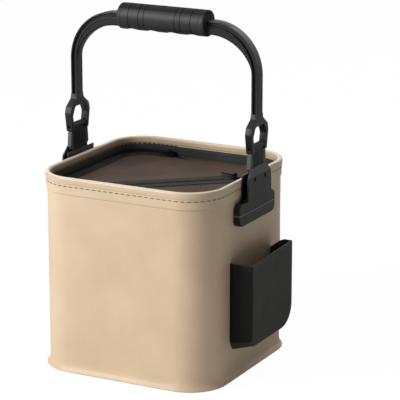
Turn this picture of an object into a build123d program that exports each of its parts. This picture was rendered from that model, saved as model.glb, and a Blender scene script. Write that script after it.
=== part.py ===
import os
from math import atan2, cos, degrees, radians, sin

from build123d import *

os.makedirs("parts", exist_ok=True)

# Tub: a square of coated cloth with round corners on a moulded foot
body_side = 240.0
corner_radius = 46.0
wall = 3.0
rim_top = 251.0
foot_height = 18.0
foot_flare = 4.5
foot_flare_height = 9.0
foot_tuck = 5.0
base_thickness = 6.0
base_ledge = 4.0

# Mouth: hem band, rolled edge with a hoop inside, and the dark zip band
roll_height = 9.7
roll_width = 6.4
roll_proud = 2.2
hoop_radius = 1.9
hem_height = 12.3
hem_proud = 1.2
band_thickness = 1.3
band_height = 14.0

# Lid: panels, tapes and the two zips
lid_recess = 22.0
panel_thickness = 2.0
panel_edge = 6.5
tape_thickness = 0.8
tape_edge = 16.5
side_tape_edge = 7.5
chain_inset = 10.5
chain_gap = 0.8
coil_width = 2.2
coil_height = 3.2
zip_angle = 40.0
zip_offset = 22.0
fold_from_left = 48.0
fold_from_right = 27.0
fold_gap = 0.3
chain_past_fold = 17.0
parking_room = 1.0
tape_fold_gap = 1.2
coil_fold_gap = 2.4

# Zip sliders and their pulls
slider_length = 12.0
slider_width = 11.2
slider_nose = 8.0
slider_plate = 1.5
slider_flange = 1.2
slider_a_past_fold = 7.5
slider_b_past_fold = 20.0
crown_length = 5.0
crown_width = 1.8
crown_bar = 1.3
crown_window = 3.0
pull_bar_radius = 0.7
pull_eye_width = 5.4
pull_thickness = 1.4
pull_drop = 7.0
pull_a_heading = 150.6
pull_a_length = 30.0
pull_a_width = 5.6
pull_b_heading = 180.0
pull_b_length = 15.0
pull_b_width = 5.0

# Brackets over the rim, one on each side
pivot_below_rim = 15.0
bracket_width = 64.0
saddle_above_rim = 5.0
saddle_plate = 1.4
foot_plate_width = 98.0
foot_plate_below_rim = 27.5
foot_plate_height = 29.0
foot_plate_depth = 8.7
foot_plate_corner = 9.0
foot_plate_edge = 1.2
ridge_width = 1.0
ridge_depth = 0.6
cover_plate = 2.5
cover_ledge = 2.9
cover_taper = 2.0
cover_below_top = 4.0
cover_bow = 4.0
cover_edge = 0.8
shoulder_height = 11.0
shoulder_narrow = 9.0
shoulder_crest = 0.5
cover_dimple_radius = 2.75
cover_dimple_spread = 28.0
cover_dimple_below_top = 8.0
peg_radius = 2.0
peg_length = 5.0
peg_distance = 44.0
backing_plate = 2.5
backing_width = 84.0
backing_height = 24.0
screw_radius = 2.0
screw_head_radius = 3.6
screw_head = 1.8
screw_bite = 6.5
screw_row_width = 68.0
screw_row_height = 12.0

# Swivel ears on the pivot pins
pin_radius = 4.0
pin_head_radius = 5.0
ear_plate = 5.0
ear_disc_radius = 9.2
ear_neck = 17.0
ear_waist = 32.0
ear_width = 40.0
ear_flare = 44.0
ear_neck_rise = 18.0
ear_waist_rise = 20.0
ear_flare_rise = 26.0
knuckle_rise = 51.0
knuckle_radius = 4.4
knuckle_pin_radius = 2.2
knuckle_pin_sink = 1.0

# Bail: forks, channelled arms and shoulders
arm_shift = 2.8
arm_thickness = 9.0
arm_width = 15.0
arm_corner = 1.2
channel_width = 4.6
channel_depth = 3.2
grip_rise = 146.0
shoulder_radius = 59.0
fork_width = 47.0
fork_low_width = 39.0
tine = 5.5
fork_drop = 6.0
window_rise = 26.0
window_widest_rise = 14.0
window_crown = 24.0
fork_widest_rise = 18.0
fork_shoulder_rise = 26.0
fork_shoulder_width = 42.0
fork_neck_rise = 35.0
fork_neck_edge = 1.0
fork_neck_taper = 6.0
fork_overlap = 4.0
fork_round = 5.0

# Hand grip, two shells round the middle of the bail
grip_length = 116.0
grip_radius = 16.5
grip_end_round = 5.0
grip_ring_width = 1.1
grip_ring_depth = 0.7
grip_ring_places = (21.5, 29.0, 43.5)
finger_pitch = 28.0
finger_radius = 17.0
finger_depth = 2.6
grip_screw_radius = 1.5
grip_screw_head_radius = 3.0
grip_screw_sink = 5.0
grip_screw_head = 2.0
grip_screw_end = 2.0
grip_screw_places = 38.0

# Side pocket on the right face
pocket_width = 116.0
pocket_depth = 31.0
pocket_bottom = 48.0
pocket_top = 151.0
pocket_wall = 2.4
pocket_corner = 27.0
pocket_round = 3.0
pocket_lip = 1.6
pocket_lip_height = 6.5

# Clearances
soft_gap = 0.3
side_gap = 0.3
fixed_fit = 0.05
run_fit = 0.06
core_fit = 0.1
cut_past = 1.0

half = body_side / 2
span = 4 * body_side
wall_top = rim_top - roll_height - hem_height - soft_gap
hem_bottom = rim_top - roll_height - hem_height
roll_outer = half + roll_proud
band_inset = wall + soft_gap + band_thickness
lid_top = rim_top - lid_recess
chain_y = half - chain_inset
fold_x = fold_from_left - half
fold_along_zip = half - fold_from_right
slider_b_x = fold_x + slider_b_past_fold
chain_z = lid_top + tape_thickness / 2
bracket_top = rim_top + saddle_above_rim
pivot_z = rim_top - pivot_below_rim
foot_plate_top = rim_top - foot_plate_below_rim
foot_plate_bottom = foot_plate_top - foot_plate_height
knuckle_z = pivot_z + knuckle_rise
window_top = knuckle_z + window_rise
fork_neck = knuckle_z + fork_neck_rise
grip_z = knuckle_z + grip_rise


def rounded_square(inset, mode=Mode.ADD):
    """The body's outline, drawn in by inset."""
    side = body_side - 2 * inset
    RectangleRounded(side, side, corner_radius - inset, mode=mode)


# The outline of the body as a path that starts in the middle of the right side
straight = half - corner_radius
with BuildLine() as body_path:
    Line((half, 0), (half, straight))
    JernArc((half, straight), (0, 1), corner_radius, 90)
    Line((straight, half), (-straight, half))
    JernArc((-straight, half), (-1, 0), corner_radius, 90)
    Line((-half, straight), (-half, -straight))
    JernArc((-half, -straight), (0, -1), corner_radius, 90)
    Line((-straight, -half), (straight, -half))
    JernArc((straight, -half), (1, 0), corner_radius, 90)
    Line((half, -straight), (half, 0))

# Stiff bottom panel
with BuildPart() as base_panel:
    with BuildSketch():
        rounded_square(wall + base_ledge)
    extrude(amount=base_thickness)
base_panel.part.label = "base_panel"
export_step(base_panel.part, "parts/base_panel.step")

# Moulded foot: it carries the wall on its top and the panel on its ledge
with BuildPart() as base_skirt:
    with BuildSketch(Plane.XZ):
        with BuildLine():
            flare = (half + foot_flare, foot_flare_height)
            inner = half - wall
            ledge = inner - base_ledge + fixed_fit
            TangentArc(flare, (half - foot_tuck, 0), tangent=(0, -1))
            TangentArc(flare, (half, foot_height), tangent=(0, 1))
            Polyline(
                (half, foot_height), (inner, foot_height), (inner, base_thickness),
                (ledge, base_thickness), (ledge, 0), (half - foot_tuck, 0),
            )
        make_face()
    sweep(path=body_path.line)
base_skirt.part.label = "base_skirt"
export_step(base_skirt.part, "parts/base_skirt.step")

# Coated cloth wall, with holes for the screws of the brackets
screw_z = (foot_plate_bottom + foot_plate_top) / 2
with BuildPart() as side_wall:
    with BuildSketch(Plane.XY.offset(foot_height)):
        rounded_square(0)
        rounded_square(wall, Mode.SUBTRACT)
    extrude(amount=wall_top - foot_height)
    with BuildSketch(Plane.YZ):
        with Locations((0, screw_z)):
            with GridLocations(screw_row_width, screw_row_height, 2, 2):
                Circle(screw_radius + soft_gap)
    extrude(amount=half + wall, both=True, mode=Mode.SUBTRACT)
side_wall.part.label = "side_wall"
export_step(side_wall.part, "parts/side_wall.step")

# Hem band round the mouth, slightly proud of the wall
with BuildPart() as rim_band:
    with BuildSketch(Plane.XY.offset(hem_bottom)):
        rounded_square(-hem_proud)
        rounded_square(wall, Mode.SUBTRACT)
    extrude(amount=hem_height)
rim_band.part.label = "rim_band"
export_step(rim_band.part, "parts/rim_band.step")

# Rolled edge, and the hoop that stiffens it
roll_x = roll_outer - roll_width / 2
roll_z = rim_top - roll_height / 2
roll_shift = roll_x - half
roll_corner = corner_radius + roll_shift
with BuildLine() as roll_path:
    Line((roll_x, 0), (roll_x, straight))
    JernArc((roll_x, straight), (0, 1), roll_corner, 90)
    Line((straight, roll_x), (-straight, roll_x))
    JernArc((-straight, roll_x), (-1, 0), roll_corner, 90)
    Line((-roll_x, straight), (-roll_x, -straight))
    JernArc((-roll_x, -straight), (0, -1), roll_corner, 90)
    Line((-straight, -roll_x), (straight, -roll_x))
    JernArc((straight, -roll_x), (1, 0), roll_corner, 90)
    Line((roll_x, -straight), (roll_x, 0))
with BuildPart() as rim_roll:
    with BuildSketch(Plane.XZ):
        with Locations((roll_x, roll_z)):
            SlotOverall(roll_height, roll_width, rotation=90)
            Circle(hoop_radius + core_fit, mode=Mode.SUBTRACT)
    sweep(path=roll_path.line)
rim_roll.part.label = "rim_roll"
export_step(rim_roll.part, "parts/rim_roll.step")

with BuildPart() as rim_hoop:
    with BuildSketch(Plane.XZ):
        with Locations((roll_x, roll_z)):
            Circle(hoop_radius)
    sweep(path=roll_path.line)
rim_hoop.part.label = "rim_hoop"
export_step(rim_hoop.part, "parts/rim_hoop.step")

# Dark band inside the mouth that carries the lid
band_bottom = lid_top - panel_thickness
with BuildPart() as zip_band:
    with BuildSketch(Plane.XY.offset(band_bottom)):
        rounded_square(wall + soft_gap)
        rounded_square(band_inset, Mode.SUBTRACT)
    extrude(amount=band_height)
zip_band.part.label = "zip_band"
export_step(zip_band.part, "parts/zip_band.step")

# The crossing zip runs at zip_angle and passes zip_offset below the centre
zip_along = Vector(cos(radians(zip_angle)), sin(radians(zip_angle)))
zip_across = Vector(-sin(radians(zip_angle)), cos(radians(zip_angle)))
zip_origin = Vector(0, -zip_offset)
fold_start = Vector(fold_x, chain_y)
fold_end = zip_origin + zip_along * fold_along_zip
fold_angle = degrees(atan2(fold_end.Y - fold_start.Y, fold_end.X - fold_start.X))
fold_away = Vector(sin(radians(fold_angle)), -cos(radians(fold_angle)))


def keep_above_zip(edge):
    """Keep what lies on the flap's side of the crossing zip, from edge on."""
    corner = zip_origin + zip_across * edge
    with Locations((corner.X, corner.Y)):
        Rectangle(span, span, rotation=zip_angle, align=(Align.CENTER, Align.MIN), mode=Mode.INTERSECT)


def keep_below_fold(shift):
    """Keep what lies on the flap's side of the fold line, moved away from the flap by shift."""
    corner = fold_start - fold_away * shift
    with Locations((corner.X, corner.Y)):
        Rectangle(span, span, rotation=fold_angle, align=(Align.CENTER, Align.MAX), mode=Mode.INTERSECT)


def inside_chain(edge, zip_edge=None):
    """The region inside the zips' centre line, drawn in by edge, or by zip_edge along the crossing zip."""
    with BuildSketch() as region:
        rounded_square(chain_inset + edge)
        keep_above_zip(edge if zip_edge is None else zip_edge)
    return region.sketch


def flap_strip(near, far, shift, zip_far=None):
    """The flap's side of the chain between two distances from its centre line."""
    with BuildSketch() as strip:
        add(inside_chain(near))
        if far:
            add(inside_chain(far, zip_far), mode=Mode.SUBTRACT)
        keep_below_fold(shift)
    return strip.sketch


def stub_strip(near, far, zip_far=None):
    """The short stretch of the flap's side that goes on past the fold."""
    with BuildSketch() as strip:
        add(inside_chain(near))
        add(inside_chain(far, zip_far), mode=Mode.SUBTRACT)
        keep_below_fold(chain_past_fold)
        add(flap_strip(near, 0, fold_gap), mode=Mode.SUBTRACT)
    return strip.sketch


chain_far = chain_gap + coil_width
coil_bottom = chain_z - coil_height / 2
panel_bottom = lid_top - panel_thickness

# Lid flap: its panel, its tape and its row of the zips
with BuildPart() as lid_flap_panel:
    with BuildSketch(Plane.XY.offset(panel_bottom)):
        add(flap_strip(panel_edge, 0, -fold_gap))
    extrude(amount=panel_thickness)
lid_flap_panel.part.label = "lid_flap_panel"
export_step(lid_flap_panel.part, "parts/lid_flap_panel.step")

with BuildPart() as zip_tape_flap:
    with BuildSketch(Plane.XY.offset(lid_top)):
        add(flap_strip(chain_far, side_tape_edge, -tape_fold_gap, tape_edge))
    extrude(amount=tape_thickness)
zip_tape_flap.part.label = "zip_tape_flap"
export_step(zip_tape_flap.part, "parts/zip_tape_flap.step")

with BuildPart() as zip_coil_flap:
    with BuildSketch(Plane.XY.offset(coil_bottom)):
        add(flap_strip(chain_gap, chain_far, -coil_fold_gap))
    extrude(amount=coil_height)
zip_coil_flap.part.label = "zip_coil_flap"
export_step(zip_coil_flap.part, "parts/zip_coil_flap.step")

# Fixed side of the lid
with BuildPart() as lid_fixed_panel:
    with BuildSketch(Plane.XY.offset(panel_bottom)):
        rounded_square(band_inset + fixed_fit)
        with BuildSketch(mode=Mode.PRIVATE) as opening:
            add(inside_chain(-panel_edge))
            keep_below_fold(0)
        add(opening.sketch, mode=Mode.SUBTRACT)
        with BuildSketch(mode=Mode.PRIVATE) as parking:
            add(inside_chain(-panel_edge))
            add(inside_chain(panel_edge), mode=Mode.SUBTRACT)
            keep_below_fold(chain_past_fold + parking_room)
        add(parking.sketch, mode=Mode.SUBTRACT)
    extrude(amount=panel_thickness)
lid_fixed_panel.part.label = "lid_fixed_panel"
export_step(lid_fixed_panel.part, "parts/lid_fixed_panel.step")

with BuildPart() as zip_tape_fixed:
    with BuildSketch(Plane.XY.offset(lid_top)):
        rounded_square(band_inset + fixed_fit)
        keep_above_zip(-tape_edge)
        add(inside_chain(-chain_far), mode=Mode.SUBTRACT)
        keep_below_fold(chain_past_fold)
        add(stub_strip(chain_far, side_tape_edge, tape_edge))
    extrude(amount=tape_thickness)
zip_tape_fixed.part.label = "zip_tape_fixed"
export_step(zip_tape_fixed.part, "parts/zip_tape_fixed.step")

with BuildPart() as zip_coil_fixed:
    with BuildSketch(Plane.XY.offset(coil_bottom)):
        add(inside_chain(-chain_far))
        add(inside_chain(-chain_gap), mode=Mode.SUBTRACT)
        keep_below_fold(chain_past_fold)
        add(stub_strip(chain_gap, chain_far))
    extrude(amount=coil_height)
zip_coil_fixed.part.label = "zip_coil_fixed"
export_step(zip_coil_fixed.part, "parts/zip_coil_fixed.step")

# Sliders: two plates with flanges round the rows, a post between them and a crown on top
plate_top = coil_height / 2 + soft_gap + slider_plate
crown_axis = plate_top + crown_window - pull_bar_radius - soft_gap


def heading_plane(at, heading, rise, drop=0.0):
    """A plane that looks along a heading, lifted by rise, with its nose dropped by some degrees."""
    turn = radians(heading)
    dip = radians(drop)
    ahead = (cos(turn) * cos(dip), sin(turn) * cos(dip), -sin(dip))
    up = (cos(turn) * sin(dip), sin(turn) * sin(dip), cos(dip))
    return Plane(at.offset(rise).origin, x_dir=ahead, z_dir=up)


def slider(at, pull_heading):
    """A zip slider on the chain, placed by the plane of the chain's centre line."""
    with BuildPart() as body:
        for side in (1, -1):
            with BuildSketch(at.offset(side * (coil_height / 2 + soft_gap))):
                RectangleRounded(slider_length, slider_width, slider_plate)
            extrude(amount=side * slider_plate)
            flange_height = coil_height / 2 + soft_gap - tape_thickness / 2 - soft_gap
            with BuildSketch(at.offset(side * (tape_thickness / 2 + soft_gap))):
                with GridLocations(0, slider_width - slider_flange, 1, 2):
                    Rectangle(slider_nose, slider_flange)
            extrude(amount=side * flange_height)
        with BuildSketch(at.offset(-coil_height / 2 - soft_gap)):
            with Locations((slider_length / 2 - slider_plate, 0)):
                Rectangle(2 * slider_plate, 2 * (chain_gap - soft_gap))
        extrude(amount=coil_height + 2 * soft_gap)
        with BuildSketch(heading_plane(at, pull_heading, plate_top)):
            with GridLocations(crown_length - crown_bar, 0, 2, 1):
                Rectangle(crown_bar, crown_width)
        extrude(amount=crown_window)
        with BuildSketch(heading_plane(at, pull_heading, plate_top + crown_window)):
            Rectangle(crown_length, crown_width)
        extrude(amount=crown_bar)
    return body


def pull(at, heading, length, width):
    """A pull tab on the slider's crown, laid down on the lid."""
    lying = heading_plane(at, heading, crown_axis, pull_drop)
    with BuildPart() as tab:
        with BuildSketch(Plane(lying.origin, x_dir=lying.x_dir, z_dir=lying.y_dir)):
            Circle(pull_bar_radius)
        extrude(amount=pull_eye_width / 2, both=True)
        with BuildSketch(lying.offset(-pull_thickness / 2)):
            arm = (pull_eye_width - crown_width) / 2 - soft_gap
            with Locations((crown_length / 2, 0)):
                with GridLocations(0, pull_eye_width - arm, 1, 2):
                    Rectangle(crown_length, arm)
            with Locations(((crown_length + length) / 2, 0)):
                RectangleRounded(length - crown_length + 2 * fixed_fit, width, width / 3)
            with Locations((length - width / 2, 0)):
                Circle(width / 6, mode=Mode.SUBTRACT)
        extrude(amount=pull_thickness)
    return tab


slider_a_origin = zip_origin + zip_along * (fold_along_zip + slider_a_past_fold)
slider_a_plane = Plane(
    (slider_a_origin.X, slider_a_origin.Y, chain_z), x_dir=(zip_along.X, zip_along.Y, 0), z_dir=(0, 0, 1)
)
slider_b_plane = Plane((slider_b_x, chain_y, chain_z), x_dir=(1, 0, 0), z_dir=(0, 0, 1))

zip_slider_a = slider(slider_a_plane, pull_a_heading)
zip_slider_a.part.label = "zip_slider_a"
export_step(zip_slider_a.part, "parts/zip_slider_a.step")

zip_pull_a = pull(slider_a_plane, pull_a_heading, pull_a_length, pull_a_width)
zip_pull_a.part.label = "zip_pull_a"
export_step(zip_pull_a.part, "parts/zip_pull_a.step")

zip_slider_b = slider(slider_b_plane, pull_b_heading)
zip_slider_b.part.label = "zip_slider_b"
export_step(zip_slider_b.part, "parts/zip_slider_b.step")

zip_pull_b = pull(slider_b_plane, pull_b_heading, pull_b_length, pull_b_width)
zip_pull_b.part.label = "zip_pull_b"
export_step(zip_pull_b.part, "parts/zip_pull_b.step")

# Right bracket: foot plate and saddle plate in one moulding
saddle_inner = roll_outer + side_gap
saddle_outer = saddle_inner + saddle_plate
foot_inner = half + side_gap
foot_outer = foot_inner + foot_plate_depth
cover_inner = saddle_outer + side_gap + ear_plate + side_gap
with BuildPart() as bracket_base:
    with BuildSketch(Plane.YZ.offset(foot_inner)):
        with Locations((0, screw_z)):
            RectangleRounded(foot_plate_width, foot_plate_top - foot_plate_bottom, foot_plate_corner)
        with Locations((0, foot_plate_top)):
            Rectangle(bracket_width, foot_plate_corner, align=(Align.CENTER, Align.MAX))
    extrude(amount=foot_plate_depth)
    fillet(bracket_base.edges().filter_by(Plane.YZ).group_by(Axis.X)[-1], foot_plate_edge)
    with BuildSketch(Plane.YZ.offset(saddle_inner)):
        with Locations((0, foot_plate_bottom + foot_plate_corner)):
            Rectangle(bracket_width, bracket_top - foot_plate_bottom - foot_plate_corner,
                      align=(Align.CENTER, Align.MIN))
    extrude(amount=saddle_plate)
    # raised line across the foot
    with BuildSketch(Plane.XY.offset(screw_z - ridge_width / 2)):
        with Locations((foot_inner, 0)):
            Rectangle(foot_plate_depth + ridge_depth, foot_plate_width, align=(Align.MIN, Align.CENTER))
    extrude(amount=ridge_width)
    # pin hole, peg holes and screw holes
    with BuildSketch(Plane.YZ.offset(saddle_inner)):
        with Locations((0, pivot_z)):
            Circle(pin_radius + fixed_fit)
    extrude(amount=saddle_plate, mode=Mode.SUBTRACT)
    with BuildSketch(Plane.YZ.offset(foot_inner)):
        with Locations((0, screw_z)):
            with GridLocations(screw_row_width, screw_row_height, 2, 2):
                Circle(screw_radius + fixed_fit)
    extrude(amount=screw_bite, mode=Mode.SUBTRACT)
    peg_x = saddle_outer + (foot_outer - saddle_outer) / 2
    with BuildSketch(Plane.XY.offset(foot_plate_top)):
        with Locations((peg_x, 0)):
            with GridLocations(0, peg_distance, 1, 2):
                Circle(peg_radius + fixed_fit)
    extrude(amount=-peg_length - fixed_fit, mode=Mode.SUBTRACT)

# Outer cover of the bracket: its ledge stands on the foot plate and leaves a slot for the ear
with BuildPart() as bracket_cover:
    with BuildSketch(Plane.YZ.offset(cover_inner)):
        with BuildLine():
            low = (bracket_width / 2, foot_plate_top)
            top = (bracket_width / 2 - cover_taper, bracket_top - cover_below_top)
            bow = (bracket_width / 2, (low[1] + top[1]) / 2 - cover_bow)
            Line((-low[0], low[1]), low)
            ThreePointArc(low, bow, top)
            Line(top, (-top[0], top[1]))
            ThreePointArc((-top[0], top[1]), (-bow[0], bow[1]), (-low[0], low[1]))
        make_face()
    extrude(amount=cover_plate)
    fillet(bracket_cover.edges().group_by(Axis.X)[-1].group_by(Axis.Z)[0], cover_edge)
    # sloping shoulder on top
    with BuildSketch(Plane.XY.offset(top[1])):
        with Locations((cover_inner, 0)):
            Rectangle(cover_plate, 2 * top[0], align=(Align.MIN, Align.CENTER))
    with BuildSketch(Plane.XY.offset(top[1] + shoulder_height)):
        with Locations((cover_inner, 0)):
            Rectangle(shoulder_crest, 2 * (top[0] - shoulder_narrow), align=(Align.MIN, Align.CENTER))
    loft()
    with BuildSketch(Plane.XY.offset(foot_plate_top)):
        with Locations((saddle_outer, 0)):
            Rectangle(cover_inner - saddle_outer, bracket_width, align=(Align.MIN, Align.CENTER))
    extrude(amount=cover_ledge)
    with BuildSketch(Plane.XY.offset(foot_plate_top)):
        with Locations((peg_x, 0)):
            with GridLocations(0, peg_distance, 1, 2):
                Circle(peg_radius)
    extrude(amount=-peg_length)
    with BuildSketch(Plane.YZ.offset(cover_inner)):
        with Locations((0, pivot_z)):
            Circle(pin_radius + fixed_fit)
    extrude(amount=cover_plate / 2 + fixed_fit, mode=Mode.SUBTRACT)
    with BuildSketch(Plane.YZ.offset(cover_inner + cover_plate / 2)):
        with Locations((0, bracket_top - cover_dimple_below_top)):
            with GridLocations(cover_dimple_spread, 0, 2, 1):
                Circle(cover_dimple_radius)
    extrude(amount=cover_plate, mode=Mode.SUBTRACT)

# Backing plate inside the wall, and the screws that draw the bracket against it
backing_outer = half - wall - side_gap
backing_inner = backing_outer - backing_plate
with BuildPart() as bracket_inner_plate:
    with BuildSketch(Plane.YZ.offset(backing_inner)):
        with Locations((0, screw_z)):
            RectangleRounded(backing_width, backing_height, backing_height / 4)
            with GridLocations(screw_row_width, screw_row_height, 2, 2):
                Circle(screw_radius + fixed_fit, mode=Mode.SUBTRACT)
    extrude(amount=backing_plate)

with BuildPart() as bracket_screws:
    with BuildSketch(Plane.YZ.offset(backing_inner)):
        with Locations((0, screw_z)):
            with GridLocations(screw_row_width, screw_row_height, 2, 2):
                Circle(screw_radius)
    extrude(amount=foot_inner + screw_bite - fixed_fit - backing_inner)
    with BuildSketch(Plane.YZ.offset(backing_inner)):
        with Locations((0, screw_z)):
            with GridLocations(screw_row_width, screw_row_height, 2, 2):
                Circle(screw_head_radius)
    extrude(amount=-screw_head)

# Pivot pin: its head lies between the hem and the saddle plate
with BuildPart() as pivot_pin:
    with BuildSketch(Plane.YZ.offset(saddle_inner)):
        with Locations((0, pivot_z)):
            Circle(pin_radius)
    extrude(amount=cover_inner + cover_plate / 2 - saddle_inner)
    with BuildSketch(Plane.YZ.offset(saddle_inner)):
        with Locations((0, pivot_z)):
            Circle(pin_head_radius)
    extrude(amount=-(saddle_inner - half - hem_proud - fixed_fit))

# Swivel ear: a disc on the pin, a widening plate and a knuckle for the fork
ear_inner = saddle_outer + side_gap
arm_x = ear_inner + arm_shift
ear_top = knuckle_z - fork_drop - side_gap
tine_gap = fork_low_width / 2 - tine
with BuildPart() as swivel_ear:
    with BuildSketch(Plane.YZ.offset(ear_inner)):
        with BuildLine():
            right_edge = [
                (ear_neck / 2, pivot_z), (ear_neck / 2, pivot_z + ear_neck_rise),
                (ear_waist / 2, pivot_z + ear_waist_rise), (ear_flare / 2, pivot_z + ear_flare_rise),
                (ear_width / 2, ear_top),
            ]
            Polyline(*right_edge, *[(-y, z) for y, z in reversed(right_edge)], close=True)
        make_face()
        with Locations((0, pivot_z)):
            Circle(ear_disc_radius)
            Circle(pin_radius + run_fit, mode=Mode.SUBTRACT)
        with Locations((0, ear_top)):
            Rectangle(2 * (tine_gap - side_gap), knuckle_z - ear_top, align=(Align.CENTER, Align.MIN))
    extrude(amount=ear_plate)
    with BuildSketch(Plane.XZ.offset(-tine_gap + side_gap)):
        with Locations((arm_x, knuckle_z)):
            Circle(knuckle_radius)
    extrude(amount=2 * (tine_gap - side_gap))
    with BuildSketch(Plane.XZ.offset(-tine_gap + side_gap)):
        with Locations((arm_x, knuckle_z)):
            Circle(knuckle_pin_radius + fixed_fit)
    extrude(amount=2 * (tine_gap - side_gap), mode=Mode.SUBTRACT)

with BuildPart() as knuckle_pin:
    with BuildSketch(Plane.XZ.offset(-fork_low_width / 2 + knuckle_pin_sink)):
        with Locations((arm_x, knuckle_z)):
            Circle(knuckle_pin_radius)
    extrude(amount=fork_low_width - 2 * knuckle_pin_sink)

right_hand = {
    "bracket_base": bracket_base,
    "bracket_cover": bracket_cover,
    "bracket_inner_plate": bracket_inner_plate,
    "bracket_screws": bracket_screws,
    "pivot_pin": pivot_pin,
    "swivel_ear": swivel_ear,
    "knuckle_pin": knuckle_pin,
}
for name, piece in right_hand.items():
    piece.part.label = f"{name}_right"
    export_step(piece.part, f"parts/{name}_right.step")
    with BuildPart() as left_hand:
        mirror(piece.part, about=Plane.YZ)
    left_hand.part.label = f"{name}_left"
    export_step(left_hand.part, f"parts/{name}_left.step")

# Bail: one channelled bar from fork to fork
arm_bottom = fork_neck - fork_overlap
fork_shoulder = knuckle_z + fork_shoulder_rise
fork_widest = knuckle_z + fork_widest_rise
window_widest = knuckle_z + window_widest_rise
with BuildPart() as bail_frame:
    with BuildLine(Plane.XZ) as bail_path:
        FilletPolyline(
            (arm_x, arm_bottom), (arm_x, grip_z), (-arm_x, grip_z), (-arm_x, arm_bottom),
            radius=shoulder_radius,
        )
    with BuildSketch(Plane.XY.offset(arm_bottom)):
        with Locations((arm_x, 0)):
            RectangleRounded(arm_thickness, arm_width, arm_corner)
            with GridLocations(0, arm_width, 1, 2):
                Rectangle(channel_width, 2 * channel_depth, mode=Mode.SUBTRACT)
    sweep(path=bail_path.line)
    for side in (1, -1):
        fork_plane = Plane.YZ.offset(side * arm_x - arm_thickness / 2)
        with BuildSketch(fork_plane):
            with BuildLine():
                fork_bottom = knuckle_z - fork_drop
                fork_edge = [
                    (arm_width / 2, fork_neck + fork_neck_taper), (arm_width / 2 + fork_neck_edge, fork_neck),
                    (fork_shoulder_width / 2, fork_shoulder), (fork_width / 2, fork_widest),
                    (fork_low_width / 2, fork_bottom), (tine_gap, fork_bottom),
                    (fork_width / 2 - tine, window_widest), (window_crown / 2, window_top),
                ]
                Polyline(*fork_edge, *[(-y, z) for y, z in reversed(fork_edge)], close=True)
            make_face()
            fillet(vertices().filter_by_position(Axis.Y, window_widest - cut_past, fork_neck + cut_past), fork_round)
        extrude(amount=arm_thickness)
        with BuildSketch(Plane.XZ.offset(-fork_width / 2)):
            with Locations((side * arm_x, knuckle_z)):
                Circle(knuckle_pin_radius + fixed_fit)
        extrude(amount=fork_width, mode=Mode.SUBTRACT)
    with BuildSketch(Plane.XY.offset(grip_z)):
        with GridLocations(grip_screw_places, 0, 3, 1):
            Circle(grip_screw_radius + core_fit)
    extrude(amount=arm_thickness, both=True, mode=Mode.SUBTRACT)
bail_frame.part.label = "bail_frame"
export_step(bail_frame.part, "parts/bail_frame.step")

# Hand grip: a round bar with rings and finger waves, bored for the bail and split into two shells
with BuildPart() as grip_body:
    with BuildSketch(Plane.YZ.offset(-grip_length / 2)):
        with Locations((0, grip_z)):
            Circle(grip_radius)
    extrude(amount=grip_length)
    fillet(grip_body.edges().filter_by(GeomType.CIRCLE), grip_end_round)
    for place in grip_ring_places:
        for side in (1, -1):
            with BuildSketch(Plane.YZ.offset(side * place - grip_ring_width / 2)):
                with Locations((0, grip_z)):
                    Circle(grip_radius + cut_past)
                    Circle(grip_radius - grip_ring_depth, mode=Mode.SUBTRACT)
            extrude(amount=grip_ring_width, mode=Mode.SUBTRACT)
    with BuildSketch(Plane.XZ.offset(-grip_radius)):
        with Locations((0, grip_z - grip_radius - finger_radius + finger_depth)):
            with GridLocations(finger_pitch, 0, 4, 1):
                Circle(finger_radius)
    extrude(amount=2 * grip_radius, mode=Mode.SUBTRACT)
    with BuildSketch(Plane.YZ.offset(-grip_length / 2)):
        with Locations((0, grip_z)):
            Rectangle(arm_width + 2 * core_fit, arm_thickness + 2 * core_fit)
    extrude(amount=grip_length, mode=Mode.SUBTRACT)

grip_parting = Plane.XY.offset(grip_z)
with BuildPart() as grip_upper:
    add(grip_body.part)
    split(bisect_by=grip_parting, keep=Keep.TOP)
    with BuildSketch(grip_parting):
        with GridLocations(grip_screw_places, 0, 3, 1):
            Circle(grip_screw_radius + core_fit)
    extrude(amount=grip_radius + cut_past, mode=Mode.SUBTRACT)
    with BuildSketch(Plane.XY.offset(grip_z + grip_radius - grip_screw_sink)):
        Circle(grip_screw_head_radius + core_fit)
    extrude(amount=grip_radius, mode=Mode.SUBTRACT)
grip_upper.part.label = "grip_upper"
export_step(grip_upper.part, "parts/grip_upper.step")

with BuildPart() as grip_lower:
    add(grip_body.part)
    split(bisect_by=grip_parting, keep=Keep.BOTTOM)
    with BuildSketch(grip_parting):
        with GridLocations(grip_screw_places, 0, 3, 1):
            Circle(grip_screw_radius + core_fit)
    extrude(amount=-grip_radius - cut_past, mode=Mode.SUBTRACT)
    with BuildSketch(Plane.XY.offset(grip_z - grip_radius + grip_screw_sink)):
        with GridLocations(2 * grip_screw_places, 0, 2, 1):
            Circle(grip_screw_head_radius + core_fit)
    extrude(amount=-grip_radius, mode=Mode.SUBTRACT)
grip_lower.part.label = "grip_lower"
export_step(grip_lower.part, "parts/grip_lower.step")

# One grip screw from above, two from below
with BuildPart() as grip_screws:
    for place, way in ((0, 1), (grip_screw_places, -1), (-grip_screw_places, -1)):
        seat = grip_z + way * (grip_radius - grip_screw_sink)
        with BuildSketch(Plane.XY.offset(seat)):
            with Locations((place, 0)):
                Circle(grip_screw_head_radius)
        extrude(amount=way * grip_screw_head)
        with BuildSketch(Plane.XY.offset(seat)):
            with Locations((place, 0)):
                Circle(grip_screw_radius)
        extrude(amount=-way * (grip_radius - grip_screw_sink + arm_thickness / 2 + grip_screw_end))
grip_screws.part.label = "grip_screws"
export_step(grip_screws.part, "parts/grip_screws.step")

# Open pocket on the right face, with a lip round its mouth
pocket_back = half + soft_gap


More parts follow.
